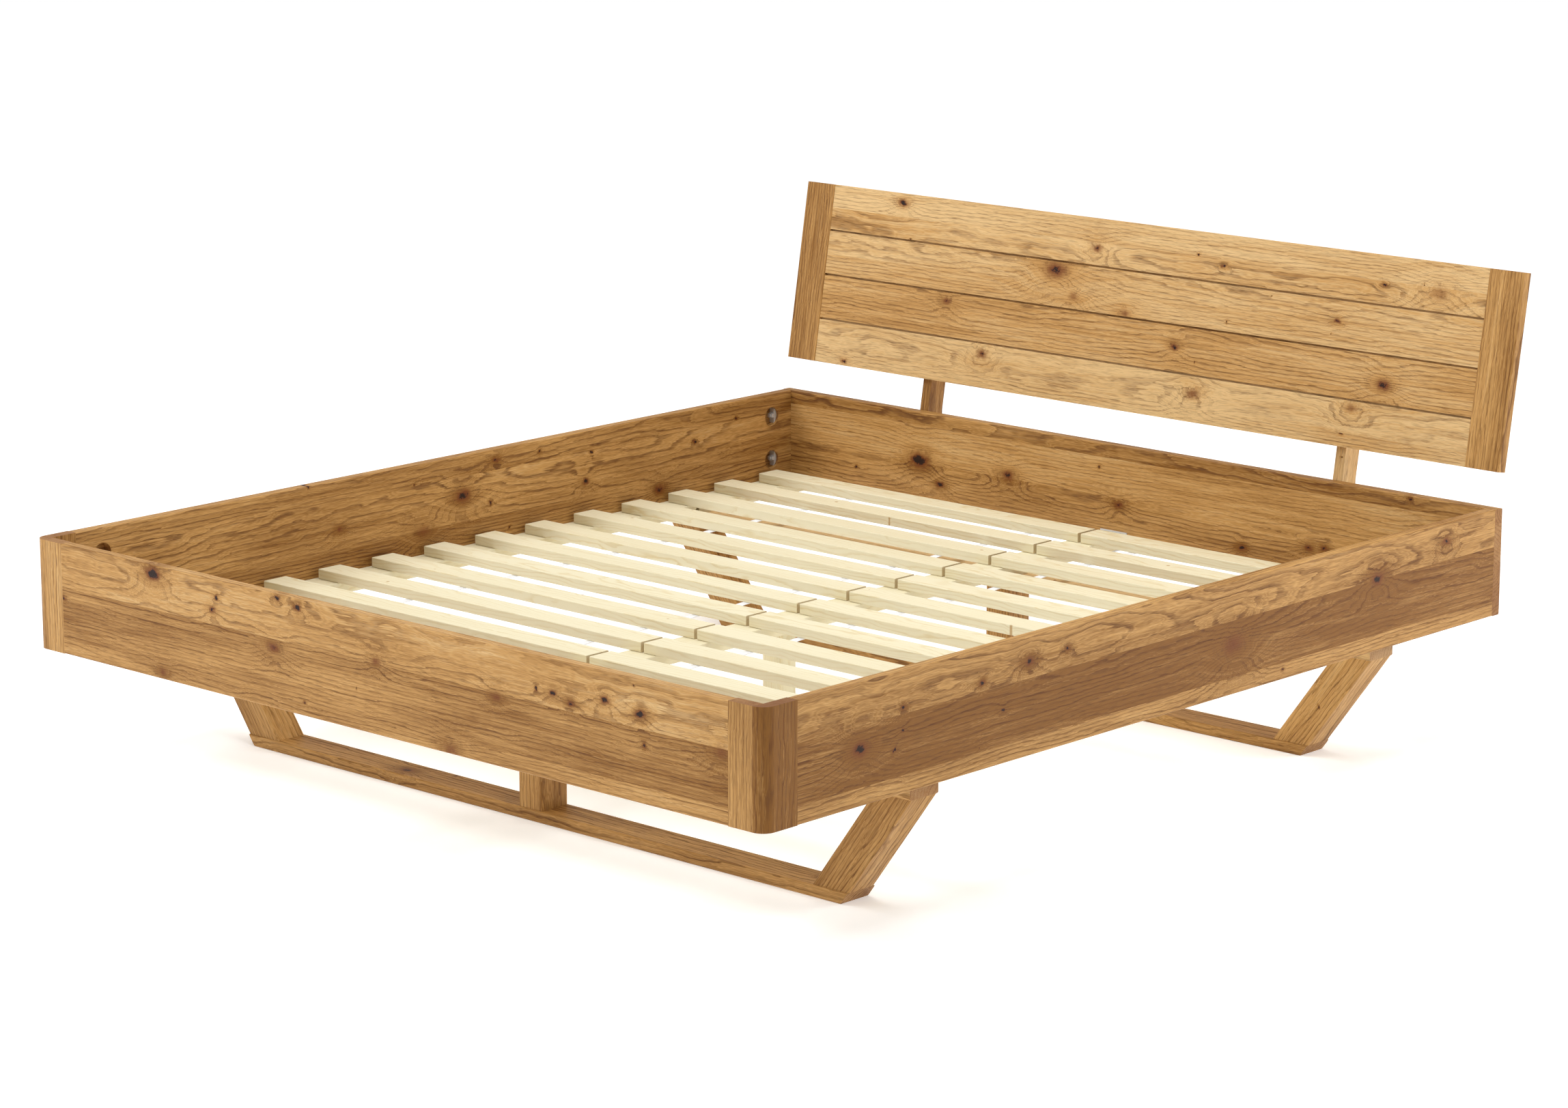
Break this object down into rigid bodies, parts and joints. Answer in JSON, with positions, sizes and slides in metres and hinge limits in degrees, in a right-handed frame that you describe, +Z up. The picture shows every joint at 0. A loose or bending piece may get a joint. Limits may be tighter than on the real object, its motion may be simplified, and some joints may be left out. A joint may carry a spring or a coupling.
{
  "type": "wooden bed frame",
  "caption": "Double bed frame of knotty oak on two sled-shaped leg frames, with a leaning plank headboard, pine bearers and two loose slat mats.",
  "frame": {"origin": "on the floor, under the middle of the whole bed with its leaning headboard", "axes": "+X to the right seen from the foot, +Y from the foot to the head, +Z up"},
  "size_m": [1.88, 2.209, 0.9051],
  "materials": {
    "oak": "oiled knotty oak, satin",
    "pine": "planed pine, untreated",
    "zinc": "zinc plated",
    "webbing": "white woven webbing"
  },
  "bodies": {
    "bed": {"foot_panel": "oak", "head_panel": "oak", "left_side_rail": "oak", "right_side_rail": "oak", "left_foot_corner": "oak", "right_foot_corner": "oak", "left_stile": "oak", "right_stile": "oak", "plank_1": "oak", "plank_2": "oak", "plank_3": "oak", "plank_4": "oak", "left_post": "oak", "right_post": "oak", "left_bearer": "pine", "right_bearer": "pine", "middle_bearer": "pine", "bearer_brackets": "zinc", "centre_leg": "pine", "front_cross_member": "oak", "front_left_leg": "oak", "front_right_leg": "oak", "front_block": "oak", "front_runner": "oak", "rear_cross_member": "oak", "rear_left_leg": "oak", "rear_right_leg": "oak", "rear_block": "oak", "rear_runner": "oak", "corner_rods": "zinc", "corner_nuts": "zinc", "half_moon_washers": "zinc", "bearer_screws": "zinc", "bracket_screws": "zinc", "crossing_screws": "zinc", "post_bolts": "zinc", "headboard_screws": "zinc"},
    "left_mat": {"left_slats_1": "pine", "left_slats_2": "pine", "left_slats_3": "pine", "left_slats_4": "pine", "left_slats_5": "pine", "left_slats_6": "pine", "left_slats_7": "pine", "left_straps": "webbing"},
    "right_mat": {"right_slats_1": "pine", "right_slats_2": "pine", "right_slats_3": "pine", "right_slats_4": "pine", "right_slats_5": "pine", "right_slats_6": "pine", "right_slats_7": "pine", "right_straps": "webbing"}
  },
  "joints": [
    {"name": "left_mat_lift", "type": "slide", "parent": "bed", "child": "left_mat", "axis": [0, 0, 1], "range_m": [0, 0.25]},
    {"name": "right_mat_lift", "type": "slide", "parent": "bed", "child": "right_mat", "axis": [0, 0, 1], "range_m": [0, 0.25]}
  ]
}
